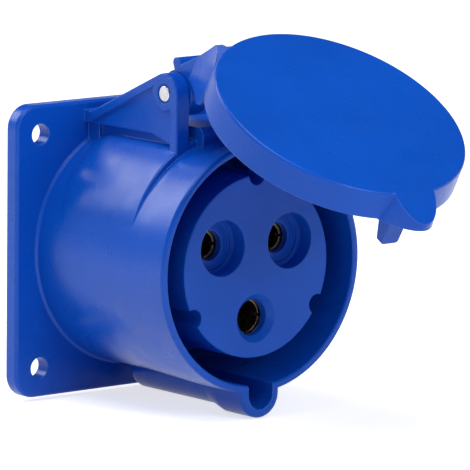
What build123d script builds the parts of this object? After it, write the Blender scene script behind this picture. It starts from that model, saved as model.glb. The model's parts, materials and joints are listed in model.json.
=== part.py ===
# Three-pole panel socket for industrial power plugs, with a sprung hinged lid.
#
# The origin is the centre of the flange's rear face, which lies on the panel. The socket's axis is Y and
# its mouth looks towards -Y, +Z is up, and all lengths are in millimetres. Most sizes along the axis are
# depths in front of the panel, so a depth of 56 lies at Y = -56.
#
# The lid is drawn closed, where its measures are simple, and is then swung about its pin to the open
# position that it stands in.

import os
from math import asin, atan2, cos, degrees, hypot, radians, sin, sqrt, tan

from build123d import *

os.makedirs("parts", exist_ok=True)

# Fits between pieces
press_gap = 0.02          # pin in the ears
running_gap = 0.06        # lid knuckles on the pin
slide_gap = 0.15          # inserts in their seats
moving_gap = 0.4          # lid clear of the housing

# Flange
flange_side = 75.0
flange_thickness = 4.0
flange_corner_radius = 6.0
flange_edge_round = 0.9
hole_spacing = 60.0
hole_radius = 2.75
seal_groove_radius = 32.5
seal_groove_width = 3.0
seal_groove_depth = 1.5

# Barrel and collar
rim_depth = 56.0
barrel_radius = 31.1
base_bead_radius = 0.5
rim_outer_radius = 31.95
rim_edge_round = 0.9
mouth_radius = 30.05
mouth_floor_radius = 29.6
mouth_chamfer = 0.4
floor_depth = 12.0
floor_thickness = 3.5
rear_cavity_radius = 28.5

# Saddle that raises the top of the barrel behind the collar
saddle_radius = 30.5
saddle_rise = 2.6
saddle_ramp_depth = 12.0
saddle_ramp_drop = 2.2
saddle_front_depth = 41.2
saddle_edge_round = 0.8
saddle_crease_round = 14.0
saddle_crease_steps = 4
pad_half_width = 9.5
pad_top = 34.5
pad_rear_depth = 24.0
pad_front_depth = 43.9
pad_round = 2.2

# Flare that brings the underside of the barrel out to the collar
flare_start_depth = 24.0
flare_end_depth = 44.0
flare_drop = 0.9

# Keyway at the bottom of the collar
slot_half_width = 3.92
slot_centre_drop = 32.2
key_wall = 2.2
rib_centre_drop = 30.8
rib_rear_depth = 10.0
rib_rear_round = 2.0
rib_step_start = 41.0
rib_step_end = 45.5

# Hinge ears
pin_depth = 36.1
pin_height = 42.8
pin_radius = 2.0
pin_end_round = 0.25
ear_outer_x = 16.0
ear_thickness = 3.9
ear_nose_radius = 5.2
ear_root_height = 34.0
ear_foot_height = 24.0
ear_panel_recess = 0.7
ear_panel_border = 2.1
ear_front_border = 2.7
ear_boss_radius = 4.3
ear_panel_floor = 32.2
ear_undercut_recess = 1.4
ear_undercut_depth = 2.4
ear_root_block_top = 35.3
ear_root_block_length = 2.3
ear_undercut_rear = 8.4
ear_undercut_bend = 30.7
ear_undercut_front_height = 29.8
ear_edge_round = 0.4
pin_counterbore_radius = 2.5
pin_counterbore_depth = 0.5

# Lid, measured from the pin: drop is downwards and reach is forwards while it is closed
lid_open_angle = 59.6
lid_top_radius = 32.7
lid_edge_round = 0.8
lid_plate_thickness = 2.5
lid_skirt_overlap = 2.6
lid_skirt_radius = 32.95
lid_skirt_wall = 0.5
lid_skirt_lead = 0.15
lid_skirt_lead_length = 0.6
lid_inner_radius = 31.9
gasket_outer_radius = 31.6
gasket_inner_radius = 28.6
gasket_thickness = 2.2
gasket_gap_to_rim = 0.3
gasket_notch_half_width = 4.4

# Hinge arm of the lid
knuckle_radius = 5.8
knuckle_gap_to_ear = 0.3
spring_bay_half_width = 6.3
spring_bay_radius = 4.6
arm_flare_start_drop = 2.0
arm_flare_foot_x = 22.0
arm_shoulder_slope = 35.0
arm_edge_distance = 6.1
arm_edge_slope = 53.0
arm_knee_below_face = 3.7
arm_knee_run = 6.5
arm_lid_overlap = 24.0
arm_lower_reach = 5.75
arm_lower_start_drop = 6.5
arm_lower_bend_drop = 11.8
arm_lower_end_drop = 18.4
arm_lower_end_reach = 10.9
arm_throat_drop = 4.0
arm_throat_reach = 3.6
cheek_thickness = 2.2
web_drop = 1.4
web_thickness = 1.5
lip_radius = 1.3
lip_drop = -4.15
lip_reach = 6.35

# Thumb tab and latch tongue
tab_base_half_width = 10.2
tab_top_half_width = 7.6
tab_length = 7.2
tab_depth = 18.7
tab_slope = 27.0
tab_underside_rise = 2.4
tongue_half_width = 2.7
tongue_outer_radius = 31.3
tongue_length = 11.7
tongue_tip_thickness = 1.9
tongue_root_thickness = 7.6
tongue_corner_round = 0.8

# Contact carrier
carrier_radius = 23.2
carrier_face_setback = 2.3
clamp_outer_radius = 28.2
clamp_inner_radius = 21.2
clamp_thickness = 3.0
block_radius = 21.8
block_back_depth = -12.0
carrier_edge_round = 0.3
edge_groove_radius = 2.6
contact_circle_radius = 12.5
contact_circle_drop = 0.7
power_counterbore_radius = 7.1
power_counterbore_depth = 4.6
power_step_radius = 6.2
power_step_depth = 5.4
power_entry_radius = 3.75
entry_lead = 0.2
earth_dish_radius = 6.2
earth_dish_depth = 1.7
earth_entry_radius = 4.5
entry_lip_thickness = 2.0

# Contacts and what holds them
power_pin_radius = 3.0
earth_pin_radius = 4.0
pin_bore_gap = 0.05
power_sleeve_wall = 1.5
earth_sleeve_wall = 1.6
sleeve_shoulder_depth = 18.0
sleeve_shoulder = 0.9
pin_bore_end_depth = 21.0
sleeve_slot_width = 0.7
sleeve_slot_length = 14.0
sleeve_front_gap = 0.5
ring_spring_thickness = 0.5
ring_spring_width = 4.0
ring_spring_setback = 3.0
ring_spring_gap = 1.6
wire_hole_radius = 2.9
wire_hole_length = 16.0
terminal_screw_depth = -3.0
terminal_screw_radius = 2.0
terminal_head_radius = 2.9
terminal_head_length = 2.6
terminal_head_gap = 0.5
screw_access_radius = 3.3
slot_width = 0.8
slot_cut_depth = 1.0
cover_thickness = 3.5
cover_edge_round = 0.6
cover_wire_hole_radius = 3.6
cover_screw_radius = 1.5
cover_screw_length = 30.0
cover_head_radius = 2.8
cover_head_height = 1.8
carrier_screw_circle_radius = 25.4
carrier_screw_radius = 1.4
carrier_screw_length = 9.0
carrier_head_radius = 2.5
carrier_head_height = 1.8
screw_boss_radius = 2.7
screw_boss_height = 3.5

# Lid spring
spring_wire_radius = 0.45
spring_coil_radius = 3.4
spring_bend_radius = 0.5
spring_half_length = 4.6
spring_turns = 7.25
spring_leg_end_depth = 26.0
spring_stub_length = 4.4

# Sizes that follow from the ones above
hole_offset = hole_spacing / 2
ear_inner_x = ear_outer_x - ear_thickness
carrier_face_depth = rim_depth - carrier_face_setback
floor_front_depth = floor_depth + floor_thickness
rim_round_start = rim_depth - rim_edge_round
slot_outer_radius = slot_half_width + key_wall
carrier_rear_depth = floor_depth - clamp_thickness
cover_screw_end = block_back_depth - cover_thickness + cover_screw_length
rim_reach = rim_depth - pin_depth
lid_plate_reach = rim_reach + gasket_gap_to_rim + gasket_thickness
lid_top_reach = lid_plate_reach + lid_plate_thickness
lid_skirt_reach = rim_reach - lid_skirt_overlap
tongue_tip_reach = rim_reach - tongue_length
tongue_outer_drop = pin_height + tongue_outer_radius
lid_edge_drop = pin_height + lid_top_radius
tab_tip_drop = lid_edge_drop + tab_length
tab_root_drop = tab_tip_drop - tab_depth
narrow_half_width = ear_inner_x - knuckle_gap_to_ear
hinge_axis = Axis((0, -pin_depth, pin_height), (1, 0, 0))


def across(depth):
    """Sketch plane across the socket axis: its X is X, its Y is Z and it faces the front."""
    return Plane.XZ.offset(depth)


def disc(radius, start, end, x=0.0, z=0.0):
    """Round bar along the socket axis, from one depth to another."""
    return extrude(across(start) * Pos(x, z) * Circle(radius), amount=end - start)


def turned(*profile):
    """Body turned about the socket axis from its (depth, radius) outline."""
    outline = Polyline(*[(-depth, radius) for depth, radius in profile], close=True)
    return revolve(Plane.YZ * make_face(outline), Axis.Y)


def side_plate(profile, start_x, end_x):
    """Plate cut to a (depth, height) outline seen from the side."""
    outline = Polyline(*[(-depth, height) for depth, height in profile], close=True)
    return extrude(Plane.YZ.offset(start_x) * make_face(outline), amount=end_x - start_x)


def side_bar(radius, start_x, end_x, depth, height):
    """Round bar along X."""
    return extrude(Plane.YZ.offset(start_x) * Pos(-depth, height) * Circle(radius), amount=end_x - start_x)


def brick(x0, x1, depth0, depth1, z0, z1):
    """Block between two corners, its length along the axis given as depths."""
    centre = ((x0 + x1) / 2, -(depth0 + depth1) / 2, (z0 + z1) / 2)
    return Pos(*centre) * Box(x1 - x0, abs(depth1 - depth0), z1 - z0)


def from_pin(drop, reach):
    """Depth and height of a point of the closed lid, measured from its pin."""
    return pin_depth + reach, pin_height - drop


def u_shape(depth, half_width, centre_drop, top=-20.0):
    """Keyway outline: straight sides down to a round bottom."""
    straight = Pos(0, (top - centre_drop) / 2) * Rectangle(2 * half_width, top + centre_drop)
    return across(depth) * (straight + Pos(0, -centre_drop) * Circle(half_width))


def mirrored(shape):
    """A shape together with its mirror image on the other side of the socket."""
    return shape + mirror(shape, about=Plane.YZ)


def make_flange():
    """Square mounting flange with its four screw holes and the seal groove behind."""
    plate = extrude(across(0) * RectangleRounded(flange_side, flange_side, flange_corner_radius),
                    amount=flange_thickness)
    front_face = plate.faces().sort_by(Axis.Y)[0]
    plate = fillet(front_face.edges(), flange_edge_round)
    for x in (-hole_offset, hole_offset):
        for z in (-hole_offset, hole_offset):
            plate -= disc(hole_radius, -1, flange_thickness + 1, x, z)
    return plate


def make_barrel():
    """Round barrel with a bead at the flange, flared below to meet the collar at the rim."""
    bead = turned((0.5, 0), (0.5, barrel_radius + base_bead_radius),
                  (flange_thickness + 0.05, barrel_radius + base_bead_radius),
                  (flange_thickness + base_bead_radius, barrel_radius),
                  (flare_start_depth, barrel_radius), (flare_start_depth, 0))
    flare_radius = barrel_radius + flare_drop / 2
    flare = loft([across(flare_start_depth) * Circle(barrel_radius),
                  across(flare_end_depth) * Pos(0, -flare_drop / 2) * Circle(flare_radius),
                  across(rim_round_start) * Circle(rim_outer_radius)], ruled=True)
    rim = disc(rim_outer_radius, rim_round_start, rim_depth)
    rim = fillet(rim.edges().filter_by(GeomType.CIRCLE).group_by(Axis.Y)[0], 0.95 * rim_edge_round)
    return bead + flare + rim


def make_saddle():
    """Second, higher barrel that stands proud of the first at the top and ends at the ears."""
    slope = atan2(saddle_ramp_drop, saddle_ramp_depth - flange_thickness)
    crease_end = saddle_ramp_depth + saddle_crease_round * tan(slope / 2)
    crease_centre = saddle_radius - saddle_crease_round
    angles = [slope * step / saddle_crease_steps for step in range(saddle_crease_steps, -1, -1)]
    crease = [(crease_end - saddle_crease_round * sin(angle),
               crease_centre + saddle_crease_round * cos(angle)) for angle in angles]
    saddle = turned((0.5, 0), (0.5, saddle_radius - saddle_ramp_drop),
                    (flange_thickness, saddle_radius - saddle_ramp_drop), *crease,
                    (saddle_front_depth, saddle_radius), (saddle_front_depth, 0))
    front_edge = saddle.edges().filter_by(GeomType.CIRCLE).group_by(Axis.Y)[0]
    return Pos(0, 0, saddle_rise) * fillet(front_edge, saddle_edge_round)


def make_key_rib():
    """Rib below the barrel that holds the keyway, deeper at the collar."""
    rear = extrude(u_shape(rib_rear_depth, slot_outer_radius, rib_centre_drop),
                   amount=rib_step_start - rib_rear_depth)
    rear = fillet(rear.faces().sort_by(Axis.Y)[-1].edges(), rib_rear_round)
    step = loft([u_shape(rib_step_start, slot_outer_radius, rib_centre_drop),
                 u_shape(rib_step_end, slot_outer_radius, slot_centre_drop)])
    front = extrude(u_shape(rib_step_end, slot_outer_radius, slot_centre_drop),
                    amount=rim_depth - rib_step_end)
    front_face = front.faces().sort_by(Axis.Y)[0]
    front = fillet(front_face.edges(), rim_edge_round)
    return rear + step + front


def ear_line():
    """Slanted top edge of an ear: its slope, and where it meets the round nose."""
    run = pin_depth - flange_thickness
    rise = pin_height - ear_root_height
    tangent_length = sqrt(run ** 2 + rise ** 2 - ear_nose_radius ** 2)
    angle = atan2(rise, run) + asin(ear_nose_radius / hypot(run, rise))
    touch = (flange_thickness + tangent_length * cos(angle), ear_root_height + tangent_length * sin(angle))
    return angle, touch


def make_ear():
    """Left hinge ear: a gusset plate with a recessed panel, an undercut below it and the pin hole."""
    angle, touch = ear_line()
    front = pin_depth + ear_nose_radius
    outline = [(flange_thickness - 0.5, ear_foot_height), (flange_thickness - 0.5, ear_root_height),
               (flange_thickness, ear_root_height), touch, (pin_depth, pin_height),
               (front, pin_height), (front, ear_foot_height)]
    ear = side_plate(outline, -ear_outer_x, -ear_inner_x)
    ear += side_bar(ear_nose_radius, -ear_outer_x, -ear_inner_x, pin_depth, pin_height)
    ear = fillet(ear.faces().sort_by(Axis.X)[0].edges(), ear_edge_round)
    root_end = flange_thickness + ear_root_block_length
    root = brick(-ear_outer_x, -ear_inner_x, flange_thickness - 0.5, root_end, ear_panel_floor,
                 ear_root_block_top)
    ear += fillet(root.edges().filter_by(Axis.X).group_by(Axis.Z)[-1].sort_by(Axis.Y)[0], ear_edge_round)

    border_rise = ear_panel_border / cos(angle)
    panel_front = front - ear_front_border
    panel_top = ear_root_height + (panel_front - flange_thickness) * sin(angle) / cos(angle) - border_rise
    panel_rear = flange_thickness + (ear_panel_floor - ear_root_height + border_rise) / tan(angle)
    panel = side_plate([(panel_rear, ear_panel_floor), (panel_front, panel_top),
                        (panel_front, ear_foot_height), (ear_undercut_bend, ear_panel_floor)],
                       -ear_outer_x - 1, -ear_outer_x + ear_panel_recess)
    panel -= side_bar(ear_boss_radius, -ear_outer_x - 1, -ear_inner_x, pin_depth, pin_height)
    ear -= panel

    for rear, recess in ((flange_thickness, ear_undercut_recess), (ear_undercut_rear, ear_undercut_depth)):
        ear -= side_plate([(rear, ear_panel_floor), (ear_undercut_bend, ear_panel_floor),
                           (panel_front, ear_undercut_front_height), (panel_front, ear_foot_height),
                           (rear, ear_foot_height)], -ear_outer_x - 1, -ear_outer_x + recess)
    ear -= side_bar(pin_radius + press_gap, -ear_outer_x - 1, 0, pin_depth, pin_height)
    counterbore_x = -ear_outer_x + pin_counterbore_depth
    return ear - side_bar(pin_counterbore_radius, -ear_outer_x - 1, counterbore_x, pin_depth, pin_height)


def make_pad():
    """Raised pad between the ears, on which the lid spring stands."""
    pad = brick(-pad_half_width, pad_half_width, pad_rear_depth, pad_front_depth, ear_foot_height, pad_top)
    front_top_edge = pad.edges().filter_by(Axis.X).group_by(Axis.Z)[-1].sort_by(Axis.Y)[0]
    return fillet(front_top_edge, pad_round)


def make_housing():
    """Flange, barrel, collar, keyway rib, ears and pad, hollowed as one moulding."""
    housing = make_flange() + make_barrel() + make_saddle()
    housing += make_key_rib()
    housing += mirrored(make_ear())
    housing += make_pad()
    mouth = turned((floor_front_depth, 0), (floor_front_depth, mouth_floor_radius),
                   (rim_depth - mouth_chamfer, mouth_radius),
                   (rim_depth + 1, mouth_radius + mouth_chamfer + 1), (rim_depth + 1, 0))
    housing -= mouth
    housing -= extrude(u_shape(floor_front_depth, slot_half_width, slot_centre_drop),
                       amount=rim_depth + 1 - floor_front_depth)
    for x in (-carrier_screw_circle_radius, carrier_screw_circle_radius):
        housing += disc(screw_boss_radius, floor_front_depth - 0.5, floor_front_depth + screw_boss_height, x)
    housing -= disc(rear_cavity_radius, -1, floor_depth)
    housing -= disc(carrier_radius + slide_gap, floor_depth - 1, rim_depth)
    for x in (-carrier_screw_circle_radius, carrier_screw_circle_radius):
        housing -= disc(carrier_screw_radius + press_gap, floor_depth - 1,
                        floor_depth + carrier_screw_length - clamp_thickness + 0.5, x)
    seal_groove = disc(seal_groove_radius + seal_groove_width, -1, seal_groove_depth)
    return housing - (seal_groove - disc(seal_groove_radius, -1, seal_groove_depth))


def make_flange_gasket():
    """Soft ring that fills the groove behind the flange."""
    side_gap = slide_gap / 2
    ring = disc(seal_groove_radius + seal_groove_width - side_gap, 0, seal_groove_depth)
    return ring - disc(seal_groove_radius + side_gap, 0, seal_groove_depth)


def lid_plan(inset, start_reach, end_reach):
    """Plan of the hinge arm seen from the front: parallel at the pin, swept out to the lid's edge."""
    start = Vector(narrow_half_width, pin_height - arm_flare_start_drop)
    foot = Vector(arm_flare_foot_x, sqrt(lid_skirt_radius ** 2 - arm_flare_foot_x ** 2))
    outward_at_foot = foot.normalized()
    chord = foot - start
    radius = -chord.dot(chord) / (2 * outward_at_foot.dot(chord))
    centre = foot + outward_at_foot * radius
    radius += inset
    half_width = narrow_half_width - inset
    flank_top = centre.Y - sqrt(radius ** 2 - (centre.X - half_width) ** 2)
    flank_foot = centre - outward_at_foot * radius
    top_z = pin_height + arm_lid_overlap / 2
    low_z = pin_height - arm_lid_overlap
    start_angle = 180 + degrees(atan2(centre.Y - flank_top, centre.X - half_width))
    end_angle = 180 + degrees(atan2(outward_at_foot.Y, outward_at_foot.X))
    flank = CenterArc((centre.X, centre.Y), radius, start_angle, end_angle - start_angle)
    right = Line((half_width, top_z), (half_width, flank_top)) + flank
    right += Line((flank_foot.X, flank_foot.Y), (flank_foot.X, low_z))
    outline = mirrored(right) + Line((half_width, top_z), (-half_width, top_z))
    outline += Line((flank_foot.X, low_z), (-flank_foot.X, low_z))
    return extrude(across(pin_depth + start_reach) * make_face(outline), amount=end_reach - start_reach)


def above_shoulders():
    """Room above the arm's shoulders, which fall away on both sides from the level of the lid's face."""
    half = lid_skirt_radius
    top = -(pin_depth + lid_top_reach)
    fall = (half - narrow_half_width) * tan(radians(arm_shoulder_slope))
    corners = Polyline((narrow_half_width, top), (half, top), (half, top + fall), close=True)
    start_z = pin_height - arm_lid_overlap
    return mirrored(extrude(Plane.XY.offset(start_z) * make_face(corners), amount=2 * arm_lid_overlap))


def arm_point(distance, along):
    """Depth and height of a point by its distance from the pin across the arm's edge, and along it."""
    slope = radians(arm_edge_slope)
    drop = -distance * sin(slope) + along * cos(slope)
    reach = distance * cos(slope) + along * sin(slope)
    return from_pin(drop, reach)


def along_at_reach(distance, reach):
    """How far along the arm a line at that distance from the pin comes to a given reach."""
    slope = radians(arm_edge_slope)
    return (reach - distance * cos(slope)) / sin(slope)


def make_arm():
    """Hinge arm: two flared cheeks, a sunk web between them and the lip over the pin."""
    slope = radians(arm_edge_slope)
    lip_along = lip_drop * cos(slope) + lip_reach * sin(slope)
    lip_distance = -lip_drop * sin(slope) + lip_reach * cos(slope)
    arm_start = lip_along - lip_radius
    half = lid_skirt_radius
    narrow = narrow_half_width
    knee_reach = lid_top_reach - arm_knee_below_face
    knee_along = along_at_reach(arm_edge_distance, knee_reach)
    knee_drop = knee_along * cos(slope) - arm_edge_distance * sin(slope)
    profile = [arm_point(arm_edge_distance, arm_start), arm_point(arm_edge_distance, knee_along),
               from_pin(knee_drop + arm_knee_run, lid_top_reach),
               from_pin(arm_lid_overlap, lid_top_reach), from_pin(arm_lid_overlap, lid_skirt_reach),
               from_pin(arm_lower_end_drop, lid_skirt_reach),
               from_pin(arm_lower_end_drop, min(arm_lower_end_reach, lid_skirt_reach - 0.5)),
               from_pin(arm_lower_bend_drop, arm_lower_reach),
               from_pin(arm_lower_start_drop, arm_lower_reach),
               from_pin(arm_throat_drop, arm_throat_reach), from_pin(0, 0)]
    arm = side_plate(profile, -half, half)
    arm &= lid_plan(0, -20, lid_top_reach)
    arm -= above_shoulders()
    arm -= lid_plan(0, -20, arm_lower_reach) - brick(-narrow, narrow, 0, 2 * pin_depth, 0, 2 * pin_height)

    under = arm_edge_distance - web_drop - web_thickness
    hollow_end = along_at_reach(under, lid_plate_reach)
    hollow = side_plate([arm_point(under, -knuckle_radius - web_drop), arm_point(under, hollow_end),
                         from_pin(arm_lid_overlap + 1, lid_plate_reach), from_pin(arm_lid_overlap + 1, 0),
                         from_pin(arm_lower_bend_drop, -knuckle_radius)], -half, half)
    arm -= hollow & lid_plan(cheek_thickness, -20, lid_top_reach)
    recess_floor = arm_edge_distance - web_drop
    recess_start = lip_along + lip_radius
    recess_end = along_at_reach(recess_floor, lid_top_reach) + web_drop
    above = arm_edge_distance + lid_top_reach
    recess = side_plate([arm_point(recess_floor, recess_start), arm_point(recess_floor, recess_end),
                         arm_point(above, recess_end), arm_point(above, recess_start)], -half, half)
    arm -= recess & lid_plan(cheek_thickness, -20, lid_top_reach + 1)

    lip = side_bar(lip_radius, -narrow, narrow, *from_pin(lip_drop, lip_reach))
    lip += side_plate([arm_point(under, lip_along - lip_radius), arm_point(under, lip_along + lip_radius),
                       arm_point(lip_distance, lip_along + lip_radius),
                       arm_point(lip_distance, lip_along - lip_radius)], -narrow, narrow)
    knuckles = side_bar(knuckle_radius, spring_bay_half_width, narrow, pin_depth, pin_height)
    arm += lip + mirrored(knuckles)
    arm -= disc(lid_inner_radius, 0, pin_depth + lid_plate_reach)
    arm -= side_bar(spring_bay_radius, -spring_bay_half_width, spring_bay_half_width, pin_depth, pin_height)
    return arm - side_bar(pin_radius + running_gap, -narrow - 1, narrow + 1, pin_depth, pin_height)


def make_cap():
    """Round cap of the lid, closed: plate, skirt and the seat that passes over the rim."""
    top_depth = pin_depth + lid_top_reach
    skirt_depth = pin_depth + lid_skirt_reach
    seat_depth = rim_depth + moving_gap
    seat_radius = lid_skirt_radius - lid_skirt_wall
    cap = turned((skirt_depth, lid_skirt_radius), (top_depth, lid_top_radius), (top_depth, 0),
                 (pin_depth + lid_plate_reach, 0), (pin_depth + lid_plate_reach, lid_inner_radius),
                 (seat_depth, lid_inner_radius), (seat_depth, seat_radius),
                 (skirt_depth + lid_skirt_lead_length, seat_radius),
                 (skirt_depth, seat_radius + lid_skirt_lead))
    top_edge = cap.edges().filter_by(GeomType.CIRCLE).group_by(Axis.Y)[0]
    return fillet(top_edge, lid_edge_round)


def make_thumb_tab():
    """Rounded tab that the thumb lifts, its top sloping down to the tip."""
    place = Pos(0, pin_height - tab_root_drop)
    base = across(pin_depth + lid_skirt_reach) * place * Ellipse(tab_base_half_width, tab_depth)
    top = across(pin_depth + lid_top_reach) * place * Ellipse(tab_top_half_width, tab_depth)
    tab = loft([base, top])
    slope_start = lid_edge_drop - lid_edge_round
    past_tip = lid_edge_drop + tab_length + 5
    slope_end = lid_top_reach - (past_tip - slope_start) * tan(radians(tab_slope))
    half = 2 * tab_base_half_width
    above = side_plate([from_pin(slope_start, lid_top_reach), from_pin(slope_start, lid_top_reach + 5),
                        from_pin(past_tip, lid_top_reach + 5), from_pin(past_tip, slope_end)], -half, half)
    below = side_plate([from_pin(lid_edge_drop, lid_skirt_reach),
                        from_pin(lid_edge_drop, lid_skirt_reach - 5),
                        from_pin(past_tip, lid_skirt_reach - 5),
                        from_pin(past_tip, lid_skirt_reach + tab_underside_rise)], -half, half)
    tab -= above + below
    return tab - disc(lid_inner_radius, pin_depth, pin_depth + lid_top_reach + 1)


def make_tongue():
    """Latch tongue that enters the keyway and catches the plug's lug."""
    slope_end = lid_plate_reach + 0.2
    tip_inner = tongue_outer_drop - tongue_tip_thickness
    root_inner = tongue_outer_drop - tongue_root_thickness
    profile = [from_pin(tip_inner, tongue_tip_reach), from_pin(tongue_outer_drop, tongue_tip_reach),
               from_pin(tongue_outer_drop, slope_end), from_pin(root_inner, slope_end)]
    tongue = side_plate(profile, -tongue_half_width, tongue_half_width)
    tip_edges = tongue.faces().sort_by(Axis.Y)[-1].edges().filter_by(Axis.X, reverse=True)
    return fillet(tip_edges, tongue_corner_round)


def make_closed_lid():
    """Lid in its closed position, with everything that has to pass over the housing cut clear."""
    lid = make_cap() + make_arm() + make_thumb_tab()
    seat_end = rim_depth + moving_gap
    skirt_seat = disc(lid_skirt_radius - lid_skirt_wall, saddle_front_depth, seat_end)
    saddle_room = disc(saddle_radius + moving_gap, 0, saddle_front_depth + moving_gap, 0, saddle_rise)
    key_room = extrude(u_shape(saddle_front_depth, slot_outer_radius + moving_gap, slot_centre_drop),
                       amount=seat_end - saddle_front_depth)
    lid -= skirt_seat + saddle_room + key_room
    return lid + make_tongue()


def make_lid_gasket():
    """Soft ring in the lid that meets the rim, notched for the latch tongue."""
    face = rim_depth + gasket_gap_to_rim
    back = pin_depth + lid_plate_reach
    ring = disc(gasket_outer_radius, face, back) - disc(gasket_inner_radius, face, back)
    return ring - brick(-gasket_notch_half_width, gasket_notch_half_width, face, back,
                        -2 * gasket_outer_radius, 0)


def opened(shape):
    """Swing a piece of the closed lid to the open position that it stands in."""
    return shape.rotate(hinge_axis, -lid_open_angle)


def contact_place(name):
    """Centre of a contact on its circle, whose centre lies a little below the socket's axis."""
    angle = {"line": 150.0, "neutral": 30.0, "earth": 270.0}[name]
    return (contact_circle_radius * cos(radians(angle)),
            contact_circle_radius * sin(radians(angle)) - contact_circle_drop)


def contact_sizes(name):
    """Bore, sleeve and shoulder radius of a contact, and the depths of its entry lip."""
    if name == "earth":
        bore = earth_pin_radius + pin_bore_gap
        sleeve = bore + earth_sleeve_wall
        lip_front = carrier_face_depth - earth_dish_depth
    else:
        bore = power_pin_radius + pin_bore_gap
        sleeve = bore + power_sleeve_wall
        lip_front = carrier_face_depth - power_step_depth
    return bore, sleeve, sleeve + sleeve_shoulder, lip_front - entry_lip_thickness


def outward(name):
    """Direction from the socket's axis out through a contact, as an angle in degrees."""
    x, z = contact_place(name)
    return degrees(atan2(z, x))


def radial_bar(radius, name, start, end, depth):
    """Round bar that points outwards through a contact, from and to a distance from the contact."""
    x, z = contact_place(name)
    bar = Cylinder(radius, end - start, align=(Align.CENTER, Align.CENTER, Align.MIN))
    turned_out = Rot(0, 90 - outward(name), 0) * Pos(0, 0, start) * bar
    return Pos(x, -depth, z) * turned_out


def make_carrier():
    """Front insulator: plug with the contact holes, and a narrower neck behind for the clamp ring."""
    carrier = disc(carrier_radius, floor_depth, carrier_face_depth)
    carrier += disc(clamp_inner_radius - slide_gap, carrier_rear_depth, floor_depth)
    front_edge = carrier.edges().filter_by(GeomType.CIRCLE).group_by(Axis.Y)[0]
    carrier = fillet(front_edge, carrier_edge_round)
    for angle in (90, 210, 330):
        carrier -= disc(edge_groove_radius, floor_front_depth, rim_depth,
                        carrier_radius * cos(radians(angle)), carrier_radius * sin(radians(angle)))
    for name in contact_names:
        x, z = contact_place(name)
        bore, sleeve, shoulder, lip_rear = contact_sizes(name)
        chamber = sleeve + ring_spring_thickness + slide_gap
        carrier -= disc(chamber, sleeve_shoulder_depth, lip_rear, x, z)
        carrier -= disc(shoulder + slide_gap, carrier_rear_depth - 1, sleeve_shoulder_depth, x, z)
        if name == "earth":
            entry_radius = earth_entry_radius
            dish = turned((carrier_face_depth - earth_dish_depth, 0),
                          (carrier_face_depth - earth_dish_depth, earth_entry_radius),
                          (carrier_face_depth, earth_dish_radius),
                          (rim_depth, earth_dish_radius), (rim_depth, 0))
            carrier -= Pos(x, 0, z) * dish
        else:
            entry_radius = power_entry_radius
            step_depth = carrier_face_depth - power_step_depth
            counterbore_depth = carrier_face_depth - power_counterbore_depth
            carrier -= disc(power_step_radius, step_depth, rim_depth, x, z)
            carrier -= disc(power_counterbore_radius, counterbore_depth, rim_depth, x, z)
        entry = turned((lip_rear - 1, 0), (lip_rear - 1, entry_radius),
                       (rim_depth, entry_radius + entry_lead), (rim_depth, 0))
        carrier -= Pos(x, 0, z) * entry
    return carrier - disc(cover_screw_radius + press_gap, carrier_rear_depth - 1, cover_screw_end + 0.5)


def make_clamp_ring():
    """Ring screwed under the housing's floor that holds the front insulator by its shoulder."""
    ring = disc(clamp_outer_radius, carrier_rear_depth, floor_depth)
    ring -= disc(clamp_inner_radius, carrier_rear_depth - 1, floor_depth + 1)
    for x in (-carrier_screw_circle_radius, carrier_screw_circle_radius):
        ring -= disc(carrier_screw_radius + slide_gap, carrier_rear_depth - 1, floor_depth + 1, x)
    return ring


def make_terminal_block():
    """Rear insulator: holds the ends of the contacts, open at the side for the terminal screws."""
    back = block_back_depth
    block = disc(block_radius, back, carrier_rear_depth)
    for name in contact_names:
        x, z = contact_place(name)
        bore, sleeve, shoulder, lip_rear = contact_sizes(name)
        block -= disc(shoulder + slide_gap, back - 1, carrier_rear_depth + 1, x, z)
        block -= radial_bar(screw_access_radius, name, shoulder - 1, block_radius, terminal_screw_depth)
    return block - disc(cover_screw_radius + slide_gap, back - 1, carrier_rear_depth + 1)


def make_contact(name):
    """Brass sleeve: slotted round the pin in front, with a wire hole and a screw hole behind."""
    x, z = contact_place(name)
    bore, sleeve, shoulder, lip_rear = contact_sizes(name)
    back = block_back_depth + slide_gap
    front = lip_rear - sleeve_front_gap
    contact = disc(sleeve, sleeve_shoulder_depth, front, x, z)
    contact += disc(shoulder, back, sleeve_shoulder_depth, x, z)
    contact -= disc(bore, pin_bore_end_depth, front + 1, x, z)
    half = sleeve_slot_width / 2
    slot_start = front - sleeve_slot_length
    contact -= brick(x - half, x + half, slot_start, front + 1, z - sleeve - 1, z + sleeve + 1)
    contact -= brick(x - sleeve - 1, x + sleeve + 1, slot_start, front + 1, z - half, z + half)
    contact -= disc(wire_hole_radius, back - 1, back + wire_hole_length, x, z)
    screw_hole = radial_bar(terminal_screw_radius + press_gap, name, 0, shoulder + 1, terminal_screw_depth)
    return contact - screw_hole


def make_ring_spring(name):
    """Split steel ring that presses the slotted front of a contact on to the pin."""
    x, z = contact_place(name)
    bore, sleeve, shoulder, lip_rear = contact_sizes(name)
    end = lip_rear - sleeve_front_gap - ring_spring_setback
    start = end - ring_spring_width
    ring = disc(sleeve + ring_spring_thickness, start, end, x, z) - disc(sleeve, start, end, x, z)
    half = ring_spring_gap / 2
    return ring - brick(x - half, x + half, start, end, z, z + 2 * sleeve)


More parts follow.
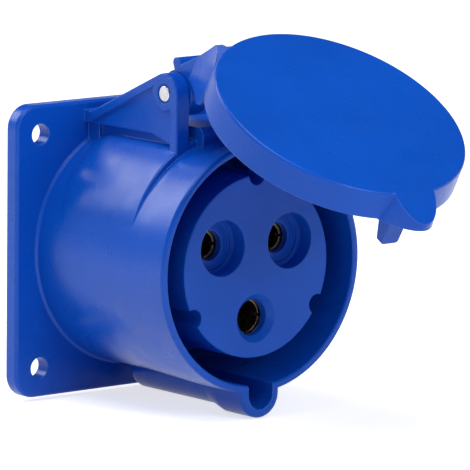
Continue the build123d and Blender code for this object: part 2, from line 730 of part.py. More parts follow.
def make_terminal_screw(name):
    """Slotted screw that clamps the wire from outside."""
    bore, sleeve, shoulder, lip_rear = contact_sizes(name)
    head_start = shoulder + terminal_head_gap
    head_end = head_start + terminal_head_length
    tip = wire_hole_radius + slide_gap
    screw = radial_bar(terminal_screw_radius, name, tip, head_start, terminal_screw_depth)
    screw += radial_bar(terminal_head_radius, name, head_start, head_end, terminal_screw_depth)
    x, z = contact_place(name)
    slot = Rot(0, 90 - outward(name), 0) * Pos(0, 0, head_end) * Box(
        3 * terminal_head_radius, slot_width, 2 * slot_cut_depth)
    return screw - Pos(x, -terminal_screw_depth, z) * slot


def make_cover():
    """Plate over the terminals, with three wire entries and the central screw hole."""
    back = block_back_depth
    cover = disc(block_radius, back - cover_thickness, back)
    rear_edge = cover.edges().filter_by(GeomType.CIRCLE).group_by(Axis.Y)[-1]
    cover = fillet(rear_edge, cover_edge_round)
    for name in contact_names:
        cover -= disc(cover_wire_hole_radius, back - cover_thickness - 1, back + 1, *contact_place(name))
    return cover - disc(cover_screw_radius + slide_gap, back - cover_thickness - 1, back + 1)


def make_cover_screw():
    """Central screw with a slotted head."""
    seat = block_back_depth - cover_thickness
    screw = disc(cover_screw_radius, seat, cover_screw_end)
    screw += disc(cover_head_radius, seat - cover_head_height, seat)
    slot = brick(-2 * cover_head_radius, 2 * cover_head_radius, seat - cover_head_height - 1,
                 seat - cover_head_height + slot_cut_depth, -slot_width / 2, slot_width / 2)
    return screw - slot


def make_carrier_screw(side):
    """Screw from behind, through the clamp ring into a boss on the housing floor."""
    x = side * carrier_screw_circle_radius
    seat = carrier_rear_depth
    screw = disc(carrier_screw_radius, seat, seat + carrier_screw_length, x)
    screw += disc(carrier_head_radius, seat - carrier_head_height, seat, x)
    slot = brick(x - 2 * carrier_head_radius, x + 2 * carrier_head_radius, seat - carrier_head_height - 1,
                 seat - carrier_head_height + slot_cut_depth, -slot_width / 2, slot_width / 2)
    return screw - slot


def make_pin():
    """Plain steel pin with rounded ends, held in both ears."""
    pin = side_bar(pin_radius, -ear_outer_x, ear_outer_x, pin_depth, pin_height)
    return fillet(pin.edges().filter_by(GeomType.CIRCLE), pin_end_round)


def spring_turn():
    """Angle by which the coil is turned about the pin so that its leg ends on the pad."""
    run = pin_depth - spring_leg_end_depth
    rise = pad_top + spring_wire_radius + press_gap - pin_height
    leg_length = sqrt(run ** 2 + rise ** 2 - spring_coil_radius ** 2)
    return degrees(atan2(rise, run)) - degrees(atan2(spring_coil_radius, leg_length)), leg_length


def spring_stub(radius):
    """Straight end of the spring wire that enters the lid's knuckle."""
    turn, leg_length = spring_turn()
    angle = radians(turn + 360 * spring_turns)
    stub = extrude(Plane.YZ.offset(spring_half_length) * Circle(radius), amount=spring_stub_length)
    depth = pin_depth + spring_coil_radius * sin(angle)
    return Pos(0, -depth, pin_height + spring_coil_radius * cos(angle)) * stub


def make_spring():
    """Torsion spring round the pin: one leg stands on the pad, the other end turns the lid."""
    turn, leg_length = spring_turn()
    path = Helix(pitch=2 * spring_half_length / spring_turns, height=2 * spring_half_length,
                 radius=spring_coil_radius, direction=(1, 0, 0))
    coil = sweep(Plane(origin=path @ 0, z_dir=path % 0) * Circle(spring_wire_radius), path=path)
    leg_start = Plane(origin=path @ 0, z_dir=Vector(0, 1, 0))
    leg = extrude(leg_start * Circle(spring_wire_radius), amount=leg_length)
    wound = coil + Pos(path @ 0) * Sphere(spring_bend_radius)
    wound = Pos(-spring_half_length, 0, 0) * (wound + leg + Pos(path @ 1) * Sphere(spring_bend_radius))
    return Pos(0, -pin_depth, pin_height) * Rot(turn, 0, 0) * wound + spring_stub(spring_wire_radius)


contact_names = ("line", "neutral", "earth")
stub_hole = spring_stub(spring_wire_radius + slide_gap)

pieces = {
    "flange_housing": make_housing(),
    "contact_carrier": make_carrier(),
    "terminal_block": make_terminal_block(),
    "clamp_ring": make_clamp_ring(),
    "terminal_cover": make_cover(),
    "cover_screw": make_cover_screw(),
    "carrier_screw_left": make_carrier_screw(-1),
    "carrier_screw_right": make_carrier_screw(1),
    "flange_gasket": make_flange_gasket(),
    "hinge_pin": make_pin(),
    "lid_spring": make_spring(),
    "lid": opened(make_closed_lid()) - stub_hole,
    "lid_gasket": opened(make_lid_gasket()),
}
for name in contact_names:
    pieces[name + "_contact"] = make_contact(name)
    pieces[name + "_ring_spring"] = make_ring_spring(name)
    pieces[name + "_terminal_screw"] = make_terminal_screw(name)

for name, piece in pieces.items():
    export_step(piece, "parts/" + name + ".step")
    print(name, round(piece.volume, 1))
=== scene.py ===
# %% [markdown]
# # A blue panel socket for a three-pin plug
#
# The real object is moulded from stiff blue plastic: a square flange, a round barrel with its collar,
# and a sprung lid on a steel pin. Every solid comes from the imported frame, so this lesson starts by
# loading it. Blender works in metres here, -Y points out of the socket's mouth and +Z is up. Sizes are
# written in millimetres where that reads better, and MM turns them into metres.

# %% Load the frame
import json
from math import atan2, cos, hypot, radians, sin, sqrt, tau

import bmesh
import bpy
from mathutils import Matrix, Vector


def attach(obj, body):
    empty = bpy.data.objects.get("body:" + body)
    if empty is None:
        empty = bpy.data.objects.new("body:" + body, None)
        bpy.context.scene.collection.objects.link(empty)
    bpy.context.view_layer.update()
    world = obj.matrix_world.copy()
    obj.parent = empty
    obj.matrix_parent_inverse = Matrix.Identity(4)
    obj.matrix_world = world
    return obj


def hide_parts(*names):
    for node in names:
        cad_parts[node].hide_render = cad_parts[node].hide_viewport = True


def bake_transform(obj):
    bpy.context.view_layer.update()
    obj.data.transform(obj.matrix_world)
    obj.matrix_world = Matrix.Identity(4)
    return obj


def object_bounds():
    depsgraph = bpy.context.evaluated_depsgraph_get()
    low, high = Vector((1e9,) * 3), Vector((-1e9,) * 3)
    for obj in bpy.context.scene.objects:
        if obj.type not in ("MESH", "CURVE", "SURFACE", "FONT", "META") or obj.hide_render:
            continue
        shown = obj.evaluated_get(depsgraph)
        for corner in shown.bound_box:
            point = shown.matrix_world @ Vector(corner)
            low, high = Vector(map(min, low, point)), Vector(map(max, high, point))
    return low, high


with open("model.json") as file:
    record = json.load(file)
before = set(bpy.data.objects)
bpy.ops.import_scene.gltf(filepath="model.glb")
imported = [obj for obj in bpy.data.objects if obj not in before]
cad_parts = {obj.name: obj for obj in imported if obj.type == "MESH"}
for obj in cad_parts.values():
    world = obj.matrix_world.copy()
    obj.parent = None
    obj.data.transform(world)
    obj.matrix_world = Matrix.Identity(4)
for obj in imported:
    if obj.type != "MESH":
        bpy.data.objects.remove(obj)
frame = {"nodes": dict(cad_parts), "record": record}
nodes = frame["nodes"]
MM = 0.001
cad_low, cad_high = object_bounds()
print("socket from", tuple(round(v, 4) for v in cad_low), "to", tuple(round(v, 4) for v in cad_high))

# %% [markdown]
# ## The camera
#
# The picture was taken from far away with a long lens, from the left of the socket and a little above
# it. A long lens keeps the far flange almost as large as the near rim, which is why the socket looks
# compact. The camera is set by its direction and the point it looks at, and not by eye.

# %% Camera at the picture's angle
azimuth, elevation, roll = radians(-39.56), radians(9.08), radians(-0.62)
look_at = Vector((-1.97, -47.6, 7.32)) * MM
distance = 1504.35 * MM

back = Vector((sin(azimuth) * cos(elevation), -cos(azimuth) * cos(elevation), sin(elevation)))
right = Vector((cos(azimuth), sin(azimuth), 0))
up = back.cross(right)
turned_right = cos(roll) * right - sin(roll) * up
turned_up = sin(roll) * right + cos(roll) * up

lens = bpy.data.cameras.new("camera")
lens.lens = 459.6
lens.sensor_width = 36
lens.clip_start = 0.05
lens.clip_end = 20
camera = bpy.data.objects.new("camera", lens)
camera.matrix_world = Matrix((
    (turned_right.x, turned_up.x, back.x, 0),
    (turned_right.y, turned_up.y, back.y, 0),
    (turned_right.z, turned_up.z, back.z, 0),
    (0, 0, 0, 1)))
camera.location = look_at + back * distance
bpy.context.scene.collection.objects.link(camera)
bpy.context.scene.camera = camera
bpy.context.scene.view_settings.view_transform = "Standard"
print("camera", tuple(round(v, 3) for v in camera.location), "at", round(distance, 2), "m")

# %% [markdown]
# ## Small helpers for materials
#
# A material is a tree of nodes. These helpers add a node, link two sockets and set a colour. Every
# pattern reads Object coordinates, which are metres here, so a noise scale of 3000 gives grains of
# about a third of a millimetre, wherever the piece stands.

# %% Node helpers
def new_material(name):
    """A material with an empty tree but for its shader and its output."""
    material = bpy.data.materials.new(name)
    material.use_nodes = True
    tree = material.node_tree
    shader = tree.nodes["Principled BSDF"]
    return material, tree, shader


def add(tree, kind, **settings):
    """A node of that kind, with some of its settings."""
    node = tree.nodes.new(kind)
    for name, value in settings.items():
        setattr(node, name, value)
    return node


def noise(tree, scale, detail=3.0, stretch=(1, 1, 1)):
    """Noise over the piece's own coordinates, stretched where a finish has a direction."""
    place = add(tree, "ShaderNodeTexCoord")
    mapping = add(tree, "ShaderNodeMapping")
    mapping.inputs["Scale"].default_value = stretch
    pattern = add(tree, "ShaderNodeTexNoise")
    pattern.inputs["Scale"].default_value = scale
    pattern.inputs["Detail"].default_value = detail
    tree.links.new(place.outputs["Object"], mapping.inputs["Vector"])
    tree.links.new(mapping.outputs["Vector"], pattern.inputs["Vector"])
    return pattern.outputs["Fac"]


def spread(tree, value, low, high, at=(0.3, 0.7)):
    """A 0 to 1 pattern spread from one value to another."""
    node = add(tree, "ShaderNodeMapRange")
    node.inputs["From Min"].default_value, node.inputs["From Max"].default_value = at
    node.inputs["To Min"].default_value, node.inputs["To Max"].default_value = low, high
    tree.links.new(value, node.inputs["Value"])
    return node.outputs["Result"]


def mixed(tree, factor, first, second):
    """One colour turning into another where the factor rises."""
    node = add(tree, "ShaderNodeMix", data_type="RGBA")
    for socket, colour in ((node.inputs[6], first), (node.inputs[7], second)):
        if isinstance(colour, tuple):
            socket.default_value = (*colour, 1)
        else:
            tree.links.new(colour, socket)
    tree.links.new(factor, node.inputs[0])
    return node.outputs[2]


def bumped(tree, height, depth, normal=None):
    """Small relief of that depth in metres, on top of another normal."""
    node = add(tree, "ShaderNodeBump")
    node.inputs["Distance"].default_value = depth
    tree.links.new(height, node.inputs["Height"])
    if normal is not None:
        tree.links.new(normal, node.inputs["Normal"])
    return node.outputs["Normal"]


# %% [markdown]
# ## Moulded plastic
#
# A mould is spark-eroded, so the plastic has a fine even grain that blurs its highlights, and each
# sharp edge of the mould leaves a small round that catches the light. A Bevel node gives that round
# without a single extra face. Where the bent normal parts from the flat one there is an edge, and
# there the colour is painted paler in patches, as a painted highlight. Real bevelled faces would
# give the same round, but the CAD pieces keep their meshes, and the shader does it for all of them
# at once.

# %% Rounded edges with a painted highlight
def edge_round(tree, radius):
    """Normal bent round the piece's sharp edges, and how near an edge is, from 0 to 1."""
    bevel = add(tree, "ShaderNodeBevel", samples=8)
    bevel.inputs["Radius"].default_value = radius
    flat = add(tree, "ShaderNodeNewGeometry")
    match = add(tree, "ShaderNodeVectorMath", operation="DOT_PRODUCT")
    tree.links.new(bevel.outputs["Normal"], match.inputs[0])
    tree.links.new(flat.outputs["Normal"], match.inputs[1])
    return bevel.outputs["Normal"], spread(tree, match.outputs["Value"], 1.0, 0.0, at=(0.75, 0.995))


# %% A maker of moulded plastics
def moulded(name, colour, edge_highlight, roughness, gloss=0.25, grain=2600, relief=0.00001,
            radius=0.00045):
    """Moulded plastic: colour, the paler tone painted on its edges as a highlight, and the grain of the
    mould.
    """
    material, tree, shader = new_material(name)
    normal, edge = edge_round(tree, radius)
    cloud = spread(tree, noise(tree, 55, 2.0), 0.0, 1.0)
    body = mixed(tree, cloud, colour, tuple(c * 0.90 for c in colour))
    # Painted highlight: near the edges the colour turns paler, in random patches.
    highlight_patches = spread(tree, noise(tree, 900, 4.0), 0.35, 0.85, at=(0.35, 0.70))
    highlight_weight = add(tree, "ShaderNodeMath", operation="MULTIPLY")
    tree.links.new(edge, highlight_weight.inputs[0])
    tree.links.new(highlight_patches, highlight_weight.inputs[1])
    tree.links.new(mixed(tree, highlight_weight.outputs["Value"], body, edge_highlight), shader.inputs["Base Color"])
    fine = noise(tree, grain, 2.0)
    tree.links.new(spread(tree, noise(tree, 180, 3.0), roughness - 0.04, roughness + 0.05),
                   shader.inputs["Roughness"])
    tree.links.new(bumped(tree, fine, relief, normal), shader.inputs["Normal"])
    shader.inputs["IOR"].default_value = 1.50
    shader.inputs["Specular IOR Level"].default_value = gloss
    return material


# The second colour of each plastic is the paler tone painted on its edges as a highlight.
socket_blue = moulded("socket_blue", (0.0018, 0.088, 0.57), (0.09, 0.26, 0.82), 0.29)
insert_blue = moulded("insert_blue", (0.003, 0.092, 0.58), (0.03, 0.17, 0.70), 0.40, relief=0.00002)
cover_grey = moulded("cover_grey", (0.10, 0.105, 0.115), (0.24, 0.24, 0.25), 0.50, relief=0.00002)
print("plastics", [m.name for m in (socket_blue, insert_blue, cover_grey)])

# %% [markdown]
# ## Rubber and metals
#
# The seals are soft black rubber with a dull, slightly dusty face. The hinge pin is ground steel, the
# springs are drawn wire, the screws are zinc plated and the contacts are turned brass that has gone
# dull. Metals get their look from roughness that changes over the surface, more than from colour.

# %% Rubber
def seal_rubber_finish():
    """Soft black seal with fine dust in its pores."""
    material, tree, shader = new_material("soft_seal")
    dust = spread(tree, noise(tree, 700, 5.0), 0.0, 0.45, at=(0.5, 0.8))
    tree.links.new(mixed(tree, dust, (0.018, 0.018, 0.02), (0.07, 0.07, 0.068)),
                   shader.inputs["Base Color"])
    tree.links.new(spread(tree, noise(tree, 300, 2.0), 0.62, 0.78), shader.inputs["Roughness"])
    tree.links.new(bumped(tree, noise(tree, 3500, 3.0), 0.00002), shader.inputs["Normal"])
    return material


seal_rubber = seal_rubber_finish()
print("rubber", seal_rubber.name)

# %% Metals
def metal(name, colour, stain, roughness, stretch, grain=1500, relief=0.000004, radius=0.00012):
    """Bare or plated metal: colour, stain, roughness from low to high, and the lie of its marks."""
    material, tree, shader = new_material(name)
    normal, edge = edge_round(tree, radius)
    marks = noise(tree, grain, 3.0, stretch)
    tree.links.new(mixed(tree, spread(tree, noise(tree, 160, 4.0), 0.0, 0.8), colour, stain),
                   shader.inputs["Base Color"])
    tree.links.new(spread(tree, marks, *roughness), shader.inputs["Roughness"])
    tree.links.new(bumped(tree, marks, relief, normal), shader.inputs["Normal"])
    shader.inputs["Metallic"].default_value = 1.0
    return material


pin_steel = metal("ground_steel", (0.66, 0.67, 0.70), (0.50, 0.51, 0.54), (0.24, 0.42), (0.2, 1, 1))
spring_steel = metal("spring_wire", (0.60, 0.61, 0.63), (0.44, 0.45, 0.47), (0.24, 0.42), (1, 1, 1))
screw_zinc = metal("screw_zinc", (0.70, 0.70, 0.67), (0.55, 0.56, 0.55), (0.30, 0.48), (1, 1, 1),
                   grain=900)
turned_brass = metal("turned_brass", (0.46, 0.36, 0.20), (0.32, 0.26, 0.17), (0.22, 0.36), (0.3, 4, 0.3))
print("metals", [m.name for m in (pin_steel, spring_steel, screw_zinc, turned_brass)])

# %% [markdown]
# ## Dressing the frame's own pieces
#
# A CAD piece keeps its mesh and only gets a finish. The record says which finish each one has in real
# life, so the list below goes from the record's names to the materials made above.

# %% Finishes on the CAD pieces
finishes = {
    "blue_plastic": socket_blue, "blue_insert": insert_blue, "grey_plastic": cover_grey,
    "seal_rubber": seal_rubber, "pin_steel": pin_steel, "spring_steel": spring_steel,
    "screw_steel": screw_zinc, "brass": turned_brass}
for part in frame["record"]["subparts"]:
    mesh = nodes[part["node"]].data
    mesh.materials.clear()
    mesh.materials.append(finishes[part["material_slot"]])
    print(part["node"], "gets", mesh.materials[0].name)

# %% [markdown]
# ## Closing the border above the pin's boss
#
# Each ear has a sunk panel, and its border runs round the pin's boss without a break. In the frame the
# panel's upper corner reaches past the boss and leaves a pocket of one millimetre there. A small filler
# closes it. Its face is a fan of quads from that corner to the boss, and every point lies on the ear's
# own face, which is flat round the pin and rounds off towards the edge. bmesh is the plain way to make
# such a fitted shape: lay out the face, then push a copy of it in to the pocket's floor.

# %% Border fillers on the two ears
pin_y, pin_z = -36.1, 42.8
ear_face, pocket_floor = 16.0, 15.31
nose_radius, nose_round, boss_radius = 5.2, 0.4, 4.3
pocket_corner = Vector((-38.61, 47.34))
boss_ends = [atan2(46.29 - pin_z, -38.61 - pin_y), atan2(46.84 - pin_z, -37.53 - pin_y)]


def ear_stands_out(y, z):
    """How far out the ear's face is at that point, over its rounded edge too."""
    beyond = hypot(y - pin_y, z - pin_z) - (nose_radius - nose_round)
    return ear_face - 0.006 - (nose_round - sqrt(max(nose_round**2 - max(beyond, 0)**2, 0)))


def border_filler(shape, side, steps=8):
    """Add one ear's filler to the shape."""
    rows = []
    for i in range(steps + 1):
        row = []
        for j in range(steps + 1):
            turn = boss_ends[0] + (boss_ends[1] - boss_ends[0]) * j / steps
            on_boss = Vector((pin_y, pin_z)) + 0.998 * boss_radius * Vector((cos(turn), sin(turn)))
            y, z = pocket_corner.lerp(on_boss, 0.02 + 0.98 * i / steps)
            row.append(shape.verts.new(Vector((side * ear_stands_out(y, z), y, z)) * MM))
        rows.append(row)
    sheet = [shape.faces.new((rows[i][j], rows[i][j + 1], rows[i + 1][j + 1], rows[i + 1][j]))
             for i in range(steps) for j in range(steps)]
    pushed = bmesh.ops.extrude_face_region(shape, geom=sheet, use_keep_orig=True)
    for corner in pushed["geom"]:
        if isinstance(corner, bmesh.types.BMVert):
            corner.co.x = side * pocket_floor * MM


fillers = bmesh.new()
for side in (-1, 1):
    border_filler(fillers, side)
bmesh.ops.recalc_face_normals(fillers, faces=fillers.faces)
filler_mesh = bpy.data.meshes.new("ear_border_fillers")
fillers.to_mesh(filler_mesh)
fillers.free()
filler_mesh.materials.append(socket_blue)
filler_piece = bpy.data.objects.new("ear_border_fillers", filler_mesh)
bpy.context.scene.collection.objects.link(filler_piece)
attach(filler_piece, "root")
print("fillers", len(filler_mesh.polygons), "faces")

# %% [markdown]
# ## A tree of nodes for everything round that follows a path
#
# The lid's spring is wire wound along a helix, and each seal has thin beads that run round it. They
# could be curve objects with a bevel, but then the sizes hide in object settings. One tree of Geometry
# Nodes makes them all: it takes bare edges as a path, rounds the path's corners, sweeps a round
# section along it and closes the ends. Each piece then gives its own sizes through the tree's inputs.

# %% Helper that opens a new tree
def open_tree(name, sizes):
    """A new geometry tree with its path socket, its sizes, a finish and its output."""
    tree = bpy.data.node_groups.new(name, "GeometryNodeTree")
    tree.interface.new_socket("Path", in_out="INPUT", socket_type="NodeSocketGeometry")
    for size, kind in sizes:
        tree.interface.new_socket(size, in_out="INPUT", socket_type=kind)
    tree.interface.new_socket("Finish", in_out="INPUT", socket_type="NodeSocketMaterial")
    tree.interface.new_socket("Piece", in_out="OUTPUT", socket_type="NodeSocketGeometry")
    return tree, add(tree, "NodeGroupInput").outputs, add(tree, "NodeGroupOutput").inputs


def close_tree(tree, shape, given, result):
    """Smooth faces with crisp edges, then real geometry with its finish."""
    smooth = add(tree, "GeometryNodeSetShadeSmooth")
    angle = add(tree, "GeometryNodeInputMeshEdgeAngle")
    steep = add(tree, "FunctionNodeCompare")
    steep.inputs["B"].default_value = 0.9
    crisp = add(tree, "GeometryNodeSetShadeSmooth", domain="EDGE")
    crisp.inputs["Shade Smooth"].default_value = False
    real = add(tree, "GeometryNodeRealizeInstances")
    finish = add(tree, "GeometryNodeSetMaterial")
    tree.links.new(shape, smooth.inputs["Geometry"])
    tree.links.new(smooth.outputs["Geometry"], crisp.inputs["Geometry"])
    tree.links.new(angle.outputs["Unsigned Angle"], steep.inputs["A"])
    tree.links.new(steep.outputs["Result"], crisp.inputs["Selection"])
    tree.links.new(crisp.outputs["Geometry"], real.inputs["Geometry"])
    tree.links.new(real.outputs["Geometry"], finish.inputs["Geometry"])
    tree.links.new(given["Finish"], finish.inputs["Material"])
    tree.links.new(finish.outputs["Geometry"], result["Piece"])


# %% Tree: round section along a path
swept, given, result = open_tree("round section along a path", (
    ("Section radius", "NodeSocketFloat"), ("Bend radius", "NodeSocketFloat"),
    ("Section points", "NodeSocketInt")))
line = add(swept, "GeometryNodeMeshToCurve")
corner = add(swept, "GeometryNodeFilletCurve", mode="POLY")
corner.inputs["Count"].default_value = 3
corner.inputs["Limit Radius"].default_value = True
section = add(swept, "GeometryNodeCurvePrimitiveCircle")
tube = add(swept, "GeometryNodeCurveToMesh")
tube.inputs["Fill Caps"].default_value = True
swept.links.new(given["Path"], line.inputs["Mesh"])
swept.links.new(line.outputs["Curve"], corner.inputs["Curve"])
swept.links.new(given["Bend radius"], corner.inputs["Radius"])
swept.links.new(given["Section points"], section.inputs["Resolution"])
swept.links.new(given["Section radius"], section.inputs["Radius"])
swept.links.new(corner.outputs["Curve"], tube.inputs["Curve"])
swept.links.new(section.outputs["Curve"], tube.inputs["Profile Curve"])
close_tree(swept, tube.outputs["Mesh"], given, result)
print("tree", swept.name, "with", len(swept.nodes), "nodes")

# %% [markdown]
# ## From a tree to a piece
#
# A tree only makes geometry while its modifier is there, and the export wants plain meshes. So this
# helper puts the modifier on bare points, sets its inputs by their identifiers, because names can
# repeat, takes the mesh that comes out, and throws the start away. The new piece then rides on its
# body of the frame.

# %% Helper that grows a piece
def grow(name, tree, points, edges, body, slot, **sizes):
    """Run the tree over bare points and edges in millimetres, and keep what it makes as a piece."""
    path = bpy.data.meshes.new(name + "_path")
    path.from_pydata([Vector(p) * MM for p in points], edges, [])
    start = bpy.data.objects.new(name + "_path", path)
    bpy.context.scene.collection.objects.link(start)
    made_by = start.modifiers.new("grow", "NODES")
    made_by.node_group = tree
    for socket in tree.interface.items_tree:
        wanted = socket.name.replace(" ", "_").lower()
        if socket.in_out == "INPUT" and wanted in sizes:
            made_by[socket.identifier] = sizes[wanted]
    ready = start.evaluated_get(bpy.context.evaluated_depsgraph_get())
    mesh = bpy.data.meshes.new_from_object(ready)
    mesh.name = name
    bpy.data.objects.remove(start)
    mesh.materials.clear()
    mesh.materials.append(sizes["finish"])
    piece = bpy.data.objects.new(name, mesh)
    bpy.context.scene.collection.objects.link(piece)
    if body:
        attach(piece, body)
    print(name, "has", len(mesh.polygons), "faces and the finish", mesh.materials[0].name)
    return piece


def chain(count, closed=False):
    """Edges that join that many points in a row, and back to the first where it is closed."""
    return [(i, i + 1) for i in range(count - 1)] + ([(count - 1, 0)] if closed else [])


# %% [markdown]
# ## The lid's spring
#
# A torsion spring sits on the pin between the ears. One leg lies on the pad of the housing and the
# other end hooks sideways into the lid, and the coils wind up as the lid opens.

# %% Lid spring
coil_radius, turns, per_turn = 3.4, 7.25, 28
first = radians(-53.21)
wire = [(-4.6, -26.0, 34.97)]
steps = int(turns * per_turn)
for i in range(steps + 1):
    a = first + tau * turns * i / steps
    wire.append((-4.6 + 9.2 * i / steps, pin_y - coil_radius * sin(a), pin_z + coil_radius * cos(a)))
wire.append((9.0, wire[-1][1], wire[-1][2]))
spring = grow("lid_spring_wire", swept, wire, chain(len(wire)), None, "spring_steel",
              section_radius=0.45 * MM, bend_radius=0.5 * MM, section_points=12, finish=spring_steel)
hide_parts("lid_spring")
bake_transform(spring)

# %% [markdown]
# ## Sealing beads
#
# A flat rubber face seals badly, so both gaskets carry two thin beads that take the pressure. The
# lid's ring has a gap over the keyway, and its beads stop short of it. The lid stands open in the
# frame, so its ring is laid out along the lid's own two directions, across the pin and down the lid.

# %% Beads on the lid's gasket and on the flange's gasket
opened = radians(59.6)
lid_reach, seal_rise, plate_rise = 42.8, 20.3, 22.39
down_lid = Vector((0, -sin(opened), -cos(opened)))
out_of_lid = Vector((0, -cos(opened), sin(opened)))
sideways = Vector((1, 0, 0))
lid_centre = Vector((0, pin_y, pin_z)) + lid_reach * down_lid


def ring_points(centre, across, along, radius, gap, count):
    """Points of a ring, open over that gap at its far end along the second direction."""
    angles = [gap + (tau - 2 * gap) * i / (count if gap == 0 else count - 1) for i in range(count)]
    return [centre + radius * (sin(a) * across + cos(a) * along) for a in angles]


def seal_beads(name, body, centre, along, radii, notch_half, count):
    """Thin beads round a gasket, which stop short of its notch where it has one."""
    points, edges = [], []
    for radius in radii:
        bead = ring_points(centre, sideways, along, radius, notch_half / radius, count)
        edges += [(a + len(points), b + len(points)) for a, b in chain(count, closed=not notch_half)]
        points += bead
    grow(name, swept, points, edges, body, "seal_rubber", section_radius=0.22 * MM,
         bend_radius=0.0, section_points=10, finish=seal_rubber)


seal_beads("lid_seal_beads", "lid", lid_centre + seal_rise * out_of_lid, down_lid,
           radii=(29.3, 30.8), notch_half=5.2, count=120)
seal_beads("flange_seal_beads", "root", Vector((0, -0.1, 0)), Vector((0, 0, -1)),
           radii=(33.3, 34.7), notch_half=0, count=144)

# %% [markdown]
# ## Marks of the mould's ejector pins
#
# Round pins push a moulding out of its mould and leave shallow round marks where nobody looks: inside
# the lid and behind the flange and the cover. Each mark is a very low disc in a fine raised ring. One
# tree sets them on bare points, turns them to face out of the surface, and varies their size a little
# with a fixed seed, because the pins are not ground to one height.

# %% Tree: ejector marks
marks, given, result = open_tree("ejector marks", (
    ("Mark radius", "NodeSocketFloat"), ("Mark height", "NodeSocketFloat"),
    ("Facing", "NodeSocketVector"), ("Seed", "NodeSocketInt")))
disc = add(marks, "GeometryNodeMeshCone")
disc.inputs["Vertices"].default_value = 40
slope = add(marks, "ShaderNodeMath", operation="MULTIPLY")
slope.inputs[1].default_value = 0.9
edge_circle = add(marks, "GeometryNodeCurvePrimitiveCircle")
edge_circle.inputs["Resolution"].default_value = 40
rim_section = add(marks, "GeometryNodeCurvePrimitiveCircle")
rim_section.inputs["Resolution"].default_value = 8
rim = add(marks, "GeometryNodeCurveToMesh")
one_mark = add(marks, "GeometryNodeJoinGeometry")
turned = add(marks, "FunctionNodeAlignRotationToVector", axis="Z")
varied = add(marks, "FunctionNodeRandomValue", data_type="FLOAT")
varied.inputs[2].default_value, varied.inputs[3].default_value = 0.94, 1.06
placed = add(marks, "GeometryNodeInstanceOnPoints")
marks.links.new(given["Mark radius"], disc.inputs["Radius Bottom"])
marks.links.new(given["Mark radius"], slope.inputs[0])
marks.links.new(slope.outputs["Value"], disc.inputs["Radius Top"])
marks.links.new(given["Mark height"], disc.inputs["Depth"])
marks.links.new(given["Mark radius"], edge_circle.inputs["Radius"])
marks.links.new(given["Mark height"], rim_section.inputs["Radius"])
marks.links.new(edge_circle.outputs["Curve"], rim.inputs["Curve"])
marks.links.new(rim_section.outputs["Curve"], rim.inputs["Profile Curve"])
marks.links.new(disc.outputs["Mesh"], one_mark.inputs["Geometry"])
marks.links.new(rim.outputs["Mesh"], one_mark.inputs["Geometry"])
marks.links.new(given["Facing"], turned.inputs["Vector"])
marks.links.new(given["Seed"], varied.inputs["Seed"])
marks.links.new(given["Path"], placed.inputs["Points"])
marks.links.new(one_mark.outputs["Geometry"], placed.inputs["Instance"])
marks.links.new(turned.outputs["Rotation"], placed.inputs["Rotation"])
marks.links.new(varied.outputs[1], placed.inputs["Scale"])
close_tree(marks, placed.outputs["Instances"], given, result)
print("tree", marks.name, "with", len(marks.nodes), "nodes")

# %% Marks inside the lid, behind the cover and behind the flange
def ejector_marks(name, points, body, slot, finish, radius, facing, seed):
    """Marks of one moulding, on those points."""
    grow(name, marks, points, [], body, slot, mark_radius=radius * MM, mark_height=0.07 * MM,
         facing=facing, seed=seed, finish=finish)


rearward, upward = Vector((0, 1, 0)), Vector((0, 0, 1))
ejector_marks("lid_ejector_marks",
              ring_points(lid_centre + plate_rise * out_of_lid, sideways, down_lid, 24, 0, 6),
              "lid", "blue_plastic", socket_blue, 1.6, -out_of_lid, 4)
ejector_marks("cover_ejector_marks", ring_points(15.49 * rearward, sideways, upward, 15, 0, 3),
              "root", "grey_plastic", cover_grey, 1.3, rearward, 7)
ejector_marks("flange_ejector_marks", ring_points(-0.01 * rearward, sideways, upward, 30.5, 0, 8),
              "root", "blue_plastic", socket_blue, 1.2, rearward, 9)

# %% [markdown]
# ## Floor and light
#
# The picture has a plain white ground. The floor is white paper that glows a little, through Light
# Path, for the camera and in reflections only, so it looks white, still takes the object's soft
# shadow and throws no extra light on the plastic. The light itself comes from a dim even sky and
# three soft lamps, which follow below.

# %% Floor
def paper(name, glow):
    """White paper that looks white to the camera and keeps a shadow."""
    material, tree, shader = new_material(name)
    shader.inputs["Base Color"].default_value = (0.8, 0.8, 0.8, 1)
    shader.inputs["Roughness"].default_value = 0.9
    rays = add(tree, "ShaderNodeLightPath")
    straight = add(tree, "ShaderNodeMath", operation="MAXIMUM")
    tree.links.new(rays.outputs["Is Camera Ray"], straight.inputs[0])
    tree.links.new(rays.outputs["Is Transmission Ray"], straight.inputs[1])
    seen = add(tree, "ShaderNodeMath", operation="MAXIMUM")
    tree.links.new(straight.outputs["Value"], seen.inputs[0])
    tree.links.new(rays.outputs["Is Glossy Ray"], seen.inputs[1])
    tree.links.new(spread(tree, seen.outputs["Value"], 0.0, glow, at=(0, 1)),
                   shader.inputs["Emission Strength"])
    shader.inputs["Emission Color"].default_value = (1, 1, 1, 1)
    return material


floor_mesh = bpy.data.meshes.new("floor")
reach = 6.0
floor_z = cad_low.z - 0.0002
floor_mesh.from_pydata([(-reach, -reach, floor_z), (reach, -reach, floor_z), (reach, reach, floor_z),
                        (-reach, reach, floor_z)], [], [(0, 1, 2, 3)])
floor_mesh.materials.append(paper("paper", 0.68))
floor = bpy.data.objects.new("floor", floor_mesh)
bpy.context.scene.collection.objects.link(floor)
print("floor at", round(floor_z, 4), "reaches", reach, "m each way")

# %% [markdown]
# ## The sky
#
# The plastic's highlights show what stands round it. In the picture they show a pale horizon and a dark
# space overhead, so the sky does the same in reflections: it falls from pale to dark between two
# heights. For diffuse light it is dim and even, and the camera sees it as plain white.

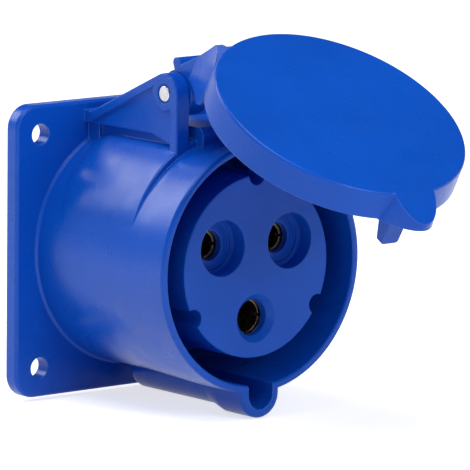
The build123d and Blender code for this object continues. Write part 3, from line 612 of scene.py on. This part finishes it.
# %% Sky
def sky_over(dim, horizon):
    """A dim even dome that is white to the camera, and pale near the horizon in reflections."""
    world = bpy.data.worlds.new("sky")
    world.use_nodes = True
    tree = world.node_tree
    rays = add(tree, "ShaderNodeLightPath")
    direction = add(tree, "ShaderNodeTexCoord")
    parts = add(tree, "ShaderNodeSeparateXYZ")
    tree.links.new(direction.outputs["Generated"], parts.inputs[0])
    mirrored = spread(tree, parts.outputs["Z"], horizon, 0.02, at=(0.08, 0.30))
    kind = add(tree, "ShaderNodeMix", data_type="FLOAT")
    kind.inputs[2].default_value = dim
    tree.links.new(rays.outputs["Is Glossy Ray"], kind.inputs[0])
    tree.links.new(mirrored, kind.inputs[3])
    seen = add(tree, "ShaderNodeMix", data_type="FLOAT")
    seen.inputs[3].default_value = 1.0
    straight = add(tree, "ShaderNodeMath", operation="MAXIMUM")
    tree.links.new(rays.outputs["Is Camera Ray"], straight.inputs[0])
    tree.links.new(rays.outputs["Is Transmission Ray"], straight.inputs[1])
    tree.links.new(straight.outputs["Value"], seen.inputs[0])
    tree.links.new(kind.outputs[0], seen.inputs[2])
    light = tree.nodes["Background"]
    light.inputs["Color"].default_value = (1, 1, 1, 1)
    tree.links.new(seen.outputs[0], light.inputs["Strength"])
    return world


bpy.context.scene.world = sky_over(0.30, 0.85)
print("sky", bpy.context.scene.world.name)

# %% [markdown]
# ## Three soft lamps
#
# The long highlight on the barrel comes from a broad light behind the socket, at its upper left. A
# second one overhead lights the lid's face more than the front, and a third one in front and a little
# above opens up the dark inside of the collar. A broad square lamp gives the soft edge that the
# highlight has, where a small one would leave a bright spot. All three stand one metre away.

# %% Lamps
middle = (cad_low + cad_high) / 2
lamp_distance = 1.0


def soft_lamp(name, direction, size, power):
    """Soft square lamp that stands in that direction from the object and faces it."""
    light = bpy.data.lights.new(name, "AREA")
    light.shape = "SQUARE"
    light.size = size
    light.energy = power
    lamp = bpy.data.objects.new(name, light)
    away = Vector(direction).normalized()
    lamp.location = middle + away * lamp_distance
    lamp.rotation_euler = away.to_track_quat("Z", "Y").to_euler()
    bpy.context.scene.collection.objects.link(lamp)
    print(name, "lamp of", size, "m and", power, "W")


soft_lamp("overhead", (-0.28, -0.15, 0.95), 0.60, 5.2)
soft_lamp("behind", (-0.33, 0.77, 0.54), 0.50, 4.6)
soft_lamp("front", (0.05, -0.88, 0.45), 0.45, 3.3)
